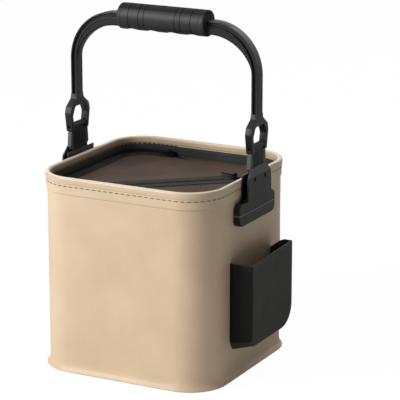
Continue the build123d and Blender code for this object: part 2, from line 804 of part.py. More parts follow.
def pocket_outline(inset, low, high, corner):
    """The pocket's front, drawn in by inset, with its two lower corners round."""
    side = pocket_width / 2 - inset
    with BuildSketch() as outline:
        with BuildLine():
            Polyline((-side, high), (-side, low), (side, low), (side, high), close=True)
        make_face()
        fillet(vertices().group_by(Axis.Y)[0], corner)
    return outline.sketch


with BuildPart() as side_pocket:
    with BuildSketch(Plane.YZ.offset(pocket_back)):
        add(pocket_outline(0, pocket_bottom, pocket_top, pocket_corner))
    extrude(amount=pocket_depth - pocket_lip)
    front = side_pocket.faces().sort_by(Axis.X)[-1]
    fillet(front.edges().filter_by_position(Axis.Z, 0, pocket_top - cut_past), pocket_round)
    with BuildSketch(Plane.XY.offset(pocket_top - pocket_lip_height)):
        with Locations((pocket_back, 0)):
            Rectangle(pocket_depth, pocket_width + 2 * pocket_lip, align=(Align.MIN, Align.CENTER))
    extrude(amount=pocket_lip_height)
    lip = side_pocket.edges().filter_by_position(Axis.Z, pocket_top - pocket_lip_height, pocket_top)
    fillet(lip.filter_by(Axis.Z).group_by(Axis.X)[-1], pocket_round)
    with BuildSketch(Plane.YZ.offset(pocket_back + pocket_wall)):
        add(pocket_outline(
            pocket_wall, pocket_bottom + pocket_wall, pocket_top + cut_past, pocket_corner - pocket_wall
        ))
    extrude(amount=pocket_depth - pocket_lip - 2 * pocket_wall, mode=Mode.SUBTRACT)
side_pocket.part.label = "side_pocket"
export_step(side_pocket.part, "parts/side_pocket.step")
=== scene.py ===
import math

import bmesh
import bpy
from mathutils import Matrix, Vector, noise


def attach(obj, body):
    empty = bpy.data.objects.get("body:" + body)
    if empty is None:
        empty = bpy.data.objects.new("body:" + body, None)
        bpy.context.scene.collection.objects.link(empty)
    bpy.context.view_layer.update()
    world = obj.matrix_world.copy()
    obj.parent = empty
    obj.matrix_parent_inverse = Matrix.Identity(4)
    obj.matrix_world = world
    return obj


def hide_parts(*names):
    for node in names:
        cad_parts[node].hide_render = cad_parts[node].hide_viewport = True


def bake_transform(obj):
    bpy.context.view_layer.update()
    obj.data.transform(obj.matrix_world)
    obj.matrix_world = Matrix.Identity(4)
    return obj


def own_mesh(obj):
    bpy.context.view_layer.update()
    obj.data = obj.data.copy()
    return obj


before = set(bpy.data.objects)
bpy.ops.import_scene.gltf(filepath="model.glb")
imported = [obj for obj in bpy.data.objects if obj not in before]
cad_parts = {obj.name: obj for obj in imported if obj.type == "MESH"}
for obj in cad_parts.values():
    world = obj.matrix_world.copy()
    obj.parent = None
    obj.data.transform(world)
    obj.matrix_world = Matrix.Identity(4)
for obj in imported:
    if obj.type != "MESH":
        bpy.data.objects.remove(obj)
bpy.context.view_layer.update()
mm = 0.001
print("frame loaded with", len(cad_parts), "nodes")


def tone(red, green, blue):
    # a colour as seen on the screen, 0 to 255, made linear
    def linear(value):
        share = value / 255
        return share / 12.92 if share <= 0.04045 else ((share + 0.055) / 1.055) ** 2.4

    return (linear(red), linear(green), linear(blue), 1)


# Camera at the photograph's angle

cameraView = {
    "place": (1.228577, -2.260998, 0.905715),
    "back": (0.44618, -0.85522, 0.26367),
    "lens": 190.71, "sensor": 36, "near": 0.05, "far": 40,
}


def makeCamera(view):
    camera = bpy.data.objects.new("camera", bpy.data.cameras.new("camera"))
    camera.data.lens = view["lens"]
    camera.data.sensor_width = view["sensor"]
    camera.data.clip_start = view["near"]
    camera.data.clip_end = view["far"]
    back = Vector(view["back"]).normalized()
    right = Vector((0, 0, 1)).cross(back).normalized()
    turn = Matrix((right, back.cross(right), back)).transposed()
    camera.matrix_world = Matrix.Translation(view["place"]) @ turn.to_4x4()
    bpy.context.collection.objects.link(camera)
    bpy.context.scene.camera = camera


makeCamera(cameraView)


# Shader maths: a wire is a socket that can be added, multiplied and compared


class Wire:
    def __init__(self, tree, socket):
        self.tree = tree
        self.socket = socket

    def node(self, kind, settings=None, values=None, output=0):
        made = self.tree.nodes.new(kind)
        for name, setting in (settings or {}).items():
            setattr(made, name, setting)
        for name, value in (values or {}).items():
            if isinstance(value, Wire):
                self.tree.links.new(value.socket, made.inputs[name])
            else:
                made.inputs[name].default_value = value
        return Wire(self.tree, made.outputs[output])

    def maths(self, operation, first, second=0.0):
        return self.node("ShaderNodeMath", {"operation": operation}, {0: first, 1: second})

    def __add__(self, other):
        return self.maths("ADD", self, other)

    def __sub__(self, other):
        return self.maths("SUBTRACT", self, other)

    def __rsub__(self, other):
        return self.maths("SUBTRACT", other, self)

    def __mul__(self, other):
        return self.maths("MULTIPLY", self, other)

    def sine(self):
        return self.maths("SINE", self)

    def absolute(self):
        return self.maths("ABSOLUTE", self)

    def most(self, other):
        return self.maths("MAXIMUM", self, other)

    def between(self, low, high):
        # 0 below low, 1 above high and a straight run between
        values = {"Value": self, "From Min": low, "From Max": high}
        return self.node("ShaderNodeMapRange", {"clamp": True}, values)

    def axes(self):
        made = self.tree.nodes.new("ShaderNodeSeparateXYZ")
        self.tree.links.new(self.socket, made.inputs[0])
        return [Wire(self.tree, socket) for socket in made.outputs]

    def turned(self, angle, stretch):
        # the angle in degrees about z, then a scale along each axis
        values = {"Vector": self, "Rotation": (0, 0, math.radians(angle)), "Scale": stretch}
        return self.node("ShaderNodeMapping", None, values)

    def speckle(self, size, detail=2.0, rough=0.5):
        # soft random value with spots of this size in millimetres
        values = {"Vector": self, "Scale": 1 / (size * mm), "Detail": detail, "Roughness": rough}
        return self.node("ShaderNodeTexNoise", None, values)

    def cells(self, size):
        values = {"Vector": self, "Scale": 1 / (size * mm)}
        return self.node("ShaderNodeTexVoronoi", None, values)

    def blend(self, low, high):
        # from one colour to another as this goes from 0 to 1
        values = {0: self, 6: low, 7: high}
        return self.node("ShaderNodeMix", {"data_type": "RGBA"}, values, 2)

    def bumped(self, strength, depth, before=None):
        values = {"Height": self, "Strength": strength, "Distance": depth * mm}
        if before:
            values["Normal"] = before
        return self.node("ShaderNodeBump", None, values)


def startMaterial(name):
    material = bpy.data.materials.new(name)
    material.use_nodes = True
    tree = material.node_tree
    tree.nodes.clear()
    return material, Wire(tree, tree.nodes.new("ShaderNodeTexCoord").outputs["Object"])


def clothPlace(place, layer):
    # the cloth's own coordinates, in metres round the outline and up
    made = place.tree.nodes.new("ShaderNodeUVMap")
    made.uv_map = layer
    return Wire(place.tree, made.outputs["UV"])


def finishMaterial(material, varied, fixed=None):
    # varied holds the wires, fixed the values that are the same all over
    tree = material.node_tree
    shader = tree.nodes.new("ShaderNodeBsdfPrincipled")
    for name, value in {**varied, **(fixed or {})}.items():
        if isinstance(value, Wire):
            tree.links.new(value.socket, shader.inputs[name])
        else:
            shader.inputs[name].default_value = value
    tree.links.new(shader.outputs[0], tree.nodes.new("ShaderNodeOutputMaterial").inputs[0])
    return material


spotRange = (0.3, 0.7)


def clouded(spots, look):
    # soft patches between a finish's dark and light colour
    return spots.between(*spotRange).blend(tone(*look["dark"]), tone(*look["light"]))


# Finishes. Colours are screen values, sizes are millimetres

wovenFinishes = {
    "tubCloth": {
        "light": (221, 197, 165), "dark": (213, 188, 156), "soil": (196, 171, 139),
        "thread": 0.62, "weave": 0.5, "depth": 0.10, "rough": 0.46, "coat": 0.10,
        "wear": 0.2, "gloss": 0.35, "layer": "cloth",
    },
    "hemCloth": {
        "light": (221, 199, 168), "dark": (213, 189, 158), "soil": (192, 168, 136),
        "thread": 0.62, "weave": 0.45, "depth": 0.09, "rough": 0.44, "coat": 0.10,
        "wear": 0.25, "gloss": 0.35, "layer": "cloth",
    },
    "rollCloth": {
        # the hem's tan painted a little darker, as painted shade on the roll's front; the band
        # along its top is a painted highlight
        "light": (214, 192, 161), "dark": (204, 181, 150), "soil": (188, 164, 132),
        "thread": 0.55, "weave": 0.3, "depth": 0.06, "rough": 0.36, "coat": 0.18,
        "wear": 0.3, "gloss": 0.4, "layer": "cloth",
        "bands": [{"low": 250.1, "high": 253.0, "tone": (246, 227, 200)}],
    },
    "mouthCloth": {
        "light": (58, 60, 63), "dark": (46, 47, 49), "soil": (60, 59, 58),
        "thread": 0.7, "weave": 0.8, "depth": 0.16, "rough": 0.72, "coat": 0.0,
        "wear": 0.3, "gloss": 0.15, "layer": "cloth",
        # the band's lower part where x is below -44 mm is painted near-black: painted shade from
        # the left wall
        "bands": [
            {
                "low": 226.0, "high": 234.0, "tone": (12, 12, 12),
                "within": {"axis": 0, "low": -125.0, "high": -44.0},
            },
        ],
    },
    "zipTapeCloth": {
        "light": (62, 60, 58), "dark": (48, 47, 46), "soil": (68, 65, 62),
        "thread": 0.55, "weave": 0.9, "depth": 0.16, "rough": 0.78, "coat": 0.0,
        "wear": 0.3, "gloss": 0.15, "layer": None,
        # the tape's strip beyond 102.4 mm along the left and back is painted near-black: painted
        # shade round the chain and in the gap to the mouth band
        "bands": [
            {"axis": 0, "low": -125.0, "high": -102.4, "tone": (14, 14, 14)},
            {"axis": 1, "low": 102.4, "high": 125.0, "tone": (14, 14, 14)},
        ],
    },
    "lidCloth": {
        "light": (86, 69, 57), "dark": (71, 56, 46), "soil": (62, 49, 40),
        "thread": 0.55, "weave": 0.7, "depth": 0.12, "rough": 0.66, "coat": 0.0,
        "wear": 0.35, "gloss": 0.15, "layer": None,
    },
}
bandFade = 0.3


def inBand(place, band):
    # 1 between two levels, or between two places along another axis
    value = place.axes()[band.get("axis", 2)]
    start, end = [
        value.between((band[limit] - bandFade) * mm, (band[limit] + bandFade) * mm)
        for limit in ("low", "high")
    ]
    inside = start * (1 - end)
    return inside * inBand(place, band["within"]) if "within" in band else inside


# What all woven finishes share: spot sizes, how much each shows, and the bumps

wovenShares = {
    "cloud": 60, "fleck": 1.6, "patch": 45, "soiled": (0.58, 0.85), "dent": 24,
    "weaveShade": 0.10, "fleckShade": 0.06, "shadow": 0.45,
    "fleckRough": 0.22, "patchRough": 0.2, "fleckHeight": 0.5,
    "bump": 0.55, "dentBump": 0.25, "dentDepth": 1.2, "coatRough": 0.3,
}


def makeWoven(name, look):
    material, place = startMaterial(name)
    shares = wovenShares
    cloth = clothPlace(place, look["layer"]) if look["layer"] else place
    across, along = cloth.axes()[:2]
    turns = math.pi / (look["thread"] * mm)
    weave = (across * turns).sine() * (along * turns).sine()
    cloud = place.speckle(shares["cloud"])
    fleck = place.speckle(shares["fleck"])
    patch = place.speckle(shares["patch"], detail=4.0, rough=0.6)
    worn = patch.between(*shares["soiled"]) * look["wear"]
    colour = worn.blend(clouded(cloud, look), tone(*look["soil"]))
    # bands: a painted highlight on the roll's top, painted shade on the mouth band and the zip
    # tape
    for band in look.get("bands", ()):
        colour = inBand(place, band).blend(colour, tone(*band["tone"]))
    shade = weave.between(-1, 1) * shares["weaveShade"] * look["weave"]
    shade = shade + fleck.between(*spotRange) * shares["fleckShade"]
    shadow = [value * shares["shadow"] for value in look["dark"]]
    colour = shade.between(0, 1).blend(colour, tone(*shadow))
    rough = (fleck - 0.5) * shares["fleckRough"] + (patch - 0.5) * shares["patchRough"]
    height = weave * look["weave"] + fleck * shares["fleckHeight"]
    normal = height.bumped(shares["bump"], look["depth"])
    dent = place.speckle(shares["dent"])
    normal = dent.bumped(shares["dentBump"], shares["dentDepth"], normal)
    varied = {"Base Color": colour, "Roughness": rough + look["rough"], "Normal": normal}
    fixed = {
        "Coat Weight": look["coat"], "Coat Roughness": shares["coatRough"],
        "Specular IOR Level": look["gloss"],
    }
    return finishMaterial(material, varied, fixed)


mouldedFinishes = {
    "pocketRubber": {
        "light": (52, 52, 50), "dark": (44, 44, 42), "worn": (60, 59, 56),
        "grain": 0.8, "depth": 0.09, "rough": 0.62, "gloss": 0.2,
        # the two ends darker than the front
        "bands": [
            {"axis": 1, "low": -64.0, "high": -56.4, "tone": (3, 3, 3)},
            {"axis": 1, "low": 56.4, "high": 64.0, "tone": (3, 3, 3)},
        ],
    },
    "bailPlastic": {
        "light": (19, 19, 19), "dark": (13, 13, 13), "worn": (42, 41, 40),
        "grain": 0.7, "depth": 0.02, "rough": 0.46, "gloss": 0.32,
    },
    "bracketPlastic": {
        "light": (21, 22, 19), "dark": (14, 15, 13), "worn": (44, 44, 41),
        "grain": 0.7, "depth": 0.06, "rough": 0.44, "gloss": 0.24,
        # the thin band at 208.3 to 209.7 mm is a painted highlight on the foot's ridge, and the
        # band from 252.6 to 264 mm paints the sloping shoulder lighter, as painted light on its
        # upward face
        "bands": [
            {"low": 208.3, "high": 209.7, "tone": (116, 116, 110)},
            {"low": 252.6, "high": 264.0, "tone": (66, 66, 65)},
        ],
    },
    "gripRubber": {
        "light": (40, 40, 41), "dark": (30, 30, 31), "worn": (62, 61, 60),
        "grain": 0.6, "depth": 0.09, "rough": 0.5, "gloss": 0.3,
        # the top above 444.3 mm is the darker upper shell; the two flat ends are painted
        # near-black, painted shade on the end faces
        "bands": [
            {"low": 444.3, "high": 460.0, "tone": (14, 14, 15), "matte": 0.35},
            {"axis": 0, "low": 61.1, "high": 70.0, "tone": (5, 5, 5), "matte": 0.35},
            {"axis": 0, "low": -70.0, "high": -59.1, "tone": (5, 5, 5), "matte": 0.35},
        ],
    },
    "earPlastic": {
        "light": (34, 35, 35), "dark": (26, 27, 27), "worn": (52, 52, 51),
        "grain": 0.8, "depth": 0.05, "rough": 0.5, "gloss": 0.12,
        # the lighter strips at both edges are painted highlights on the cheeks, and the
        # near-black patch between them is painted shade of a recess that the shape does not have
        "bands": [
            {"axis": 1, "low": -24.0, "high": -15.2, "tone": (92, 93, 94)},
            {"axis": 1, "low": 15.2, "high": 24.0, "tone": (92, 93, 94)},
        ],
        "hollowShade": {
            "middle": -6.5, "half": 8.5, "sideFade": 0.8,
            "low": 262.0, "high": 281.5, "endFade": 1.0, "tone": (2, 2, 2),
        },
    },
    "coilPlastic": {
        "light": (26, 26, 27), "dark": (17, 17, 18), "worn": (44, 43, 42),
        "grain": 0.5, "depth": 0.03, "rough": 0.34, "gloss": 0.3,
    },
    "hoopPlastic": {
        "light": (90, 90, 88), "dark": (70, 70, 69), "worn": (110, 108, 104),
        "grain": 0.6, "depth": 0.03, "rough": 0.4, "gloss": 0.3,
    },
    "boardPlastic": {
        "light": (72, 66, 58), "dark": (56, 51, 45), "worn": (96, 90, 82),
        "grain": 1.1, "depth": 0.08, "rough": 0.55, "gloss": 0.3,
    },
}

# What all moulded finishes share

mouldedShares = {
    "cloud": 30, "fleckGrains": 2.5, "scuff": 2.4, "scuffTurn": 27, "scuffStretch": (1, 1, 0.12),
    "scuffed": (0.62, 0.74), "scuffClouds": (0.45, 0.7),
    "worn": 0.55, "fleckRough": 0.2, "wornRough": 0.3, "grainHeight": 0.8, "fleckHeight": 0.4,
    "bump": 0.5, "dent": 16, "dentBump": 0.15, "dentDepth": 0.5,
}


def inHollowShade(place, hollowShade):
    # 1 on the ear's face between its cheeks, where its recess is painted in shade
    along, up = place.axes()[1:]
    away = (along - hollowShade["middle"] * mm).absolute()
    side = away.between((hollowShade["half"] - hollowShade["sideFade"]) * mm, hollowShade["half"] * mm)
    start = up.between(hollowShade["low"] * mm, (hollowShade["low"] + hollowShade["endFade"]) * mm)
    end = up.between((hollowShade["high"] - hollowShade["endFade"]) * mm, hollowShade["high"] * mm)
    return (1 - side) * start * (1 - end)


def makeMoulded(name, look):
    material, place = startMaterial(name)
    shares = mouldedShares
    cloud = place.speckle(shares["cloud"], detail=3.0)
    grain = place.cells(look["grain"])
    fleck = place.speckle(look["grain"] * shares["fleckGrains"], detail=3.0, rough=0.6)
    scuff = place.turned(shares["scuffTurn"], shares["scuffStretch"])
    scuff = scuff.speckle(shares["scuff"], detail=4.0, rough=0.7)
    worn = scuff.between(*shares["scuffed"]) * cloud.between(*shares["scuffClouds"])
    worn = worn * shares["worn"]
    colour = worn.blend(clouded(cloud, look), tone(*look["worn"]))
    rough = (fleck - 0.5) * shares["fleckRough"] + worn * shares["wornRough"] + look["rough"]
    for band in look.get("bands", ()):
        # part of the moulding in another tone; the notes at each finish say which bands are its
        # own tone and which are painted highlight and painted shade
        inside = inBand(place, band)
        colour = inside.blend(colour, tone(*band["tone"]))
        if "matte" in band:
            rough = rough + inside * band["matte"]
    # the ear's recess between its cheeks painted near-black: painted shade
    if "hollowShade" in look:
        colour = inHollowShade(place, look["hollowShade"]).blend(colour, tone(*look["hollowShade"]["tone"]))
    height = grain * shares["grainHeight"] + fleck * shares["fleckHeight"]
    normal = height.bumped(shares["bump"], look["depth"])
    dent = place.speckle(shares["dent"], detail=1.0)
    normal = dent.bumped(shares["dentBump"], shares["dentDepth"], normal)
    varied = {"Base Color": colour, "Roughness": rough, "Normal": normal}
    return finishMaterial(material, varied, {"Specular IOR Level": look["gloss"]})


metalFinishes = {
    "sliderMetal": {
        "light": (14, 14, 15), "dark": (8, 8, 9), "bare": (70, 69, 67),
        "brush": 0.5, "rough": 0.5, "metal": 0.0, "gloss": 0.12,
    },
    "screwSteel": {
        "light": (172, 172, 170), "dark": (142, 142, 141), "bare": (205, 204, 200),
        "brush": 0.4, "rough": 0.3, "metal": 1.0, "gloss": 0.5,
    },
}

# What all metal finishes share

metalShares = {
    "cloud": 9, "chip": 1.1, "chipped": (0.66, 0.7), "chips": 0.6,
    "brushTurn": 35, "brushStretch": (1, 0.08, 1), "brushRough": 0.25, "bump": 0.3, "depth": 0.03,
}


def makeMetal(name, look):
    material, place = startMaterial(name)
    shares = metalShares
    cloud = place.speckle(shares["cloud"], detail=3.0)
    lines = place.turned(shares["brushTurn"], shares["brushStretch"])
    lines = lines.speckle(look["brush"], detail=3.0, rough=0.6)
    chips = place.speckle(shares["chip"], detail=3.0, rough=0.7)
    chips = chips.between(*shares["chipped"])
    colour = (chips * shares["chips"]).blend(clouded(cloud, look), tone(*look["bare"]))
    rough = (lines - 0.5) * shares["brushRough"] + look["rough"]
    metallic = chips * (1 - look["metal"]) + look["metal"]
    normal = lines.bumped(shares["bump"], shares["depth"])
    varied = {
        "Base Color": colour, "Roughness": rough, "Metallic": metallic, "Normal": normal,
    }
    return finishMaterial(material, varied, {"Specular IOR Level": look["gloss"]})


threadFinishes = {
    "brownThread": {"light": (142, 116, 88), "dark": (96, 76, 56), "twist": 0.55},
    "darkThread": {"light": (46, 46, 47), "dark": (20, 20, 21), "twist": 0.5},
}

# What both threads share

threadShares = {
    "fluff": 0.4, "plyShade": 0.7, "fluffShade": 0.3, "rough": 0.6, "fluffRough": 0.2,
    "bump": 0.5, "depth": 0.08,
}


def makeThread(name, look):
    material, place = startMaterial(name)
    shares = threadShares
    across, along, up = place.axes()
    plies = ((across + along + up) * (2 * math.pi / (look["twist"] * mm))).sine()
    fluff = place.speckle(shares["fluff"])
    shade = plies.between(-1, 1) * shares["plyShade"] + fluff * shares["fluffShade"]
    colour = shade.blend(tone(*look["dark"]), tone(*look["light"]))
    rough = fluff * shares["fluffRough"] + shares["rough"]
    normal = (plies + fluff).bumped(shares["bump"], shares["depth"])
    return finishMaterial(material, {"Base Color": colour, "Roughness": rough, "Normal": normal})


makers = [
    (makeWoven, wovenFinishes), (makeMoulded, mouldedFinishes),
    (makeMetal, metalFinishes), (makeThread, threadFinishes),
]
finishes = {name: make(name, look) for make, looks in makers for name, look in looks.items()}
print("finishes made:", len(finishes))


# Mesh helpers: everything is shaped in millimetres and scaled once at the end

near = 0.1  # a point this close to a plane lies on it
plainSharp, clothSharp, barSharp, rowSharp = 35, 40, 50, 80  # degrees from which an edge shows


def finishPiece(name, shape, finish, body=None, stands=(), sharp=plainSharp):
    bmesh.ops.scale(shape, vec=(mm, mm, mm), verts=shape.verts)
    mesh = bpy.data.meshes.new(name)
    shape.to_mesh(mesh)
    shape.free()
    mesh.polygons.foreach_set("use_smooth", [True] * len(mesh.polygons))
    mesh.set_sharp_from_angle(angle=math.radians(sharp))
    mesh.materials.append(finishes[finish])
    piece = bpy.data.objects.new(name, mesh)
    bpy.context.collection.objects.link(piece)
    if stands:
        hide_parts(*stands)
    if body:
        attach(piece, body)
    return piece


def everything(shape):
    return shape.verts[:] + shape.edges[:] + shape.faces[:]


def cutAcross(shape, normal, places):
    # an edge loop where each plane passes
    way = Vector(normal)
    for place in places:
        bmesh.ops.bisect_plane(shape, geom=everything(shape), plane_co=way * place, plane_no=way)


def steps(low, high, pitch):
    count = max(1, round((high - low) / pitch))
    return [low + (high - low) * i / count for i in range(1, count)]


def cutSides(shape, reach, pitch):
    # upright edge loops at an even pitch along x and y
    for way in ((1, 0, 0), (0, 1, 0)):
        cutAcross(shape, way, steps(-reach, reach, pitch))


def bevelEdges(shape, edges, offset, segments, clamp=False):
    bmesh.ops.bevel(
        shape, geom=edges, offset=offset, offset_type="OFFSET", affect="EDGES",
        segments=segments, profile=0.5, material=-1, clamp_overlap=clamp,
    )


def createBlock(shape, size, middle):
    bmesh.ops.create_cube(shape, size=1)
    bmesh.ops.scale(shape, vec=size, verts=shape.verts)
    bmesh.ops.translate(shape, vec=middle, verts=shape.verts)


def squareTube(halfSide, corner, low, high):
    # the upright walls of a square with round corners
    shape = bmesh.new()
    createBlock(shape, (2 * halfSide, 2 * halfSide, high - low), (0, 0, (low + high) / 2))
    uprights = [e for e in shape.edges if abs(e.verts[0].co.z - e.verts[1].co.z) > near]
    bevelEdges(shape, uprights, corner, tub["segments"])
    caps = [f for f in shape.faces if abs(f.normal.z) > 0.9]
    bmesh.ops.delete(shape, geom=caps, context="FACES_ONLY")
    return shape


def thicken(piece, thick, side=-1):
    # side is -1 for all of it inwards, 0 for half on each side
    solid = piece.modifiers.new("thickness", "SOLIDIFY")
    solid.thickness = thick * mm
    solid.offset = side


def roundRims(piece, width, segments):
    rim = piece.modifiers.new("rim", "BEVEL")
    rim.width = width * mm
    rim.segments = segments
    rim.limit_method = "ANGLE"
    return rim


def alongOutline(x, y, halfSide, corner):
    # how far round the outline a point lies, from the middle of the right side
    hair = 0.001
    straight = halfSide - corner
    quarter = 2 * straight + corner * math.pi / 2
    for turn in range(4):
        if x >= straight - hair and abs(y) <= straight + hair:
            return turn * quarter + y
        if x >= straight - hair and y >= straight - hair:
            bend = math.atan2(y - straight, x - straight)
            return turn * quarter + straight + corner * bend
        x, y = y, -x
    return 0.0


def wrapCloth(shape, halfSide, corner):
    # a flat cloth's own coordinates, in metres, laid round the outline
    layer = shape.loops.layers.uv.new("cloth")
    straight = halfSide - corner
    perimeter = 8 * straight + 2 * math.pi * corner
    for face in shape.faces:
        points = [loop.vert.co for loop in face.loops]
        rounds = [alongOutline(point.x, point.y, halfSide, corner) for point in points]
        widest = max(rounds)
        for loop, place in zip(face.loops, rounds):
            if widest - place > perimeter / 2:
                place += perimeter
            loop[layer].uv = (place * mm, loop.vert.co.z * mm)


def lineRun(start, end):
    start, end = Vector(start), Vector(end)
    return {"start": start, "end": end, "length": (end - start).length}


def arcRun(centre, radius, first, last):
    first, last = math.radians(first), math.radians(last)
    return {
        "centre": Vector(centre), "radius": radius, "first": first, "last": last,
        "length": radius * abs(last - first),
    }


def onRun(run, distance):
    # the place and heading this far along a line or an arc
    if "start" in run:
        way = (run["end"] - run["start"]).normalized()
        return run["start"] + way * distance, math.atan2(way.y, way.x)
    sweep = run["last"] - run["first"]
    angle = run["first"] + sweep * (distance / run["length"])
    point = run["centre"] + Vector((math.cos(angle), math.sin(angle))) * run["radius"]
    return point, angle + math.copysign(math.pi / 2, sweep)


def walk(runs, pitch, first=None):
    # places and headings at an even pitch along lines and arcs
    hair = 1e-6
    total = sum(run["length"] for run in runs)
    pitch = total / max(1, round(total / pitch))
    place = pitch / 2 if first is None else first
    done = 0.0
    for run in runs:
        while place <= done + run["length"] + hair and place <= total:
            yield onRun(run, place - done)
            place += pitch
        done += run["length"]


def squareRuns(halfSide, corner):
    straight = halfSide - corner
    runs = []
    for quarter in range(4):
        first = 90 * quarter
        turn = Matrix.Rotation(math.radians(first), 2)
        ends = [turn @ Vector((halfSide, straight * way)) for way in (-1, 1)]
        runs.append(lineRun(*ends))
        runs.append(arcRun(turn @ Vector((straight, straight)), corner, first, first + 90))
    return runs


ballSteps = {"around": 6, "along": 5}


def plantRow(shape, size, spots):
    # a row of stitches or teeth, small long balls, size is length, width, height
    seed = bmesh.new()
    bmesh.ops.create_uvsphere(
        seed, u_segments=ballSteps["around"], v_segments=ballSteps["along"], radius=0.5,
        matrix=Matrix.Rotation(math.pi / 2, 4, "Y"),
    )
    bmesh.ops.scale(seed, vec=size, verts=seed.verts)
    one = bpy.data.meshes.new("seed")
    seed.to_mesh(one)
    seed.free()
    for place, heading in spots:
        turn = Matrix.Translation(place) @ Matrix.Rotation(heading, 4, "Z")
        one.transform(turn)
        shape.from_mesh(one)
        one.transform(turn.inverted())
    bpy.data.meshes.remove(one)


def lifted(spots, height):
    return [(Vector((place.x, place.y, height)), heading) for place, heading in spots]


def ripple(point, size, seed=0.0):
    # smooth random value from -1 to 1 with waves of this size in millimetres
    return noise.noise(point / size + Vector((seed, seed * 1.7, seed * 0.3)))


mergeLook = {"near": 0.002, "flat": 0.5}


def copyNode(name):
    # the CAD node's mesh, in millimetres, with double points merged and flat faces joined
    shape = bmesh.new()
    shape.from_mesh(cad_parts[name].data)
    bmesh.ops.scale(shape, vec=(1 / mm, 1 / mm, 1 / mm), verts=shape.verts)
    bmesh.ops.remove_doubles(shape, verts=shape.verts, dist=mergeLook["near"])
    bmesh.ops.dissolve_limit(
        shape, angle_limit=math.radians(mergeLook["flat"]), verts=shape.verts,
        edges=shape.edges, delimit=set(),
    )
    return shape


# The tub's outline, shared by everything that goes round it. In the side zone, the last
# millimetres in x, nothing swells, because the brackets and the pocket are fixed there

tub = {
    "half": 120.0, "corner": 46.0, "wall": 3.0, "foot": 18.0, "segments": 14, "sideZone": 4,
}

# Coated cloth wall

wallLook = {
    "top": 228.7, "bulge": 0.7, "waves": 0.45, "waveSize": 46, "loops": 9.0, "folded": 0.4542,
    "bulgeHalf": 90, "sideDents": 0.35, "dentSize": 40,
}


def makeWall(look):
    shape = squareTube(tub["half"], tub["corner"], tub["foot"], look["top"])
    cutAcross(shape, (0, 0, 1), steps(tub["foot"], look["top"], look["loops"]))
    cutSides(shape, tub["half"] - tub["corner"], look["loops"])
    wrapCloth(shape, tub["half"], tub["corner"])
    shape.normal_update()
    middle = (tub["foot"] + look["top"]) / 2
    reach = (look["top"] - tub["foot"]) / 2
    for vert in shape.verts:
        # full in the middle of the front and back, still at the edges, and dented a little
        # on the two sides, where the brackets and the pocket are fixed
        up = 1 - ((vert.co.z - middle) / reach) ** 2
        if abs(vert.co.x) < tub["half"] - tub["sideZone"]:
            inward = min(abs(vert.co.x), abs(vert.co.y)) / look["bulgeHalf"]
            swell = look["bulge"] * up * max(0.0, 1 - inward ** 2)
            swell += look["waves"] * up * ripple(vert.co, look["waveSize"])
            vert.co += vert.normal * swell
        else:
            dent = look["sideDents"] * up * abs(ripple(vert.co, look["dentSize"]))
            vert.co.x -= math.copysign(dent, vert.co.x)
    wall = finishPiece("wall_cloth_shell", shape, "tubCloth", None, ["side_wall"])
    thicken(wall, tub["wall"])
    for edge in wall.data.edges:
        ends = [wall.data.vertices[i].co.z for i in edge.vertices]
        atFoot = max(ends) < (tub["foot"] + near) * mm
        if atFoot or min(ends) > (look["top"] - near) * mm:
            edge.use_edge_sharp = True
    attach(wall, "tub")
    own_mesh(wall)
    return wall


wall = makeWall(wallLook)

# Foot: the same cloth flares out to a low welded edge. Each point of its profile is a distance
# out from the wall's face and a height

footLook = {
    "outside": [
        (4.1, 1.6), (3.5, 2.6), (2.1, 4.2), (0.9, 6.5), (0.25, 9.5), (0.0, 12.5), (0.0, 18.0),
    ],
    "inside": [(-3.0, 18.0), (-3.0, 6.0), (-7.1, 6.0), (-7.1, 0.0), (3.2, 0.0), (3.9, 0.5)],
}


def onOutline(point, outward, height):
    # the same place along the outline, this far out from the wall's face
    straight = tub["half"] - tub["corner"]
    core = Vector([max(-straight, min(straight, value)) for value in point.xy])
    away = (point.xy - core).normalized() * (tub["corner"] + outward)
    return Vector((core.x + away.x, core.y + away.y, height))


def makeFoot(look):
    profile = look["outside"] + look["inside"]
    shape = squareTube(tub["half"], tub["corner"], 0, 1)
    first = [e for e in shape.edges if all(v.co.z < 0.5 for v in e.verts)]
    last = [e for e in shape.edges if all(v.co.z > 0.5 for v in e.verts)]
    for vert in shape.verts:
        vert.co = onOutline(vert.co, *profile[1 if vert.co.z > 0.5 else 0])
    for outward, height in profile[2:]:
        made = bmesh.ops.extrude_edge_only(shape, edges=last)["geom"]
        fresh = {part for part in made if isinstance(part, bmesh.types.BMVert)}
        for vert in fresh:
            vert.co = onOutline(vert.co, outward, height)
        last = [e for e in shape.edges if e.verts[0] in fresh and e.verts[1] in fresh]
    bmesh.ops.bridge_loops(shape, edges=first + last)
    bmesh.ops.recalc_face_normals(shape, faces=shape.faces)
    wrapCloth(shape, tub["half"], tub["corner"])
    finishPiece(
        "foot_edge", shape, "tubCloth", "tub", ["base_skirt"], clothSharp
    )


makeFoot(footLook)
print("wall and foot made")

# Hem band outside the mouth, with its row of stitches

hemLook = {
    "low": 229.0, "high": 243.6, "proud": 1.2, "edge": 0.7, "edgeSteps": 3, "loops": 6, "rows": 3,
    "waves": 0.15, "waveSize": 17, "seed": 3.0,
    "stitch": (5.9, 1.0, 1.3), "pitch": 8.1, "row": 239.8, "stands": 0.15,
}


def makeRing(look, half, corner):
    # cloth round the mouth, with its own coordinates
    shape = squareTube(half, corner, look["low"], look["high"])
    cutSides(shape, half - corner, look["loops"])
    if "rows" in look:
        cutAcross(shape, (0, 0, 1), steps(look["low"], look["high"], look["rows"]))
    wrapCloth(shape, half, corner)
    shape.normal_update()
    return shape


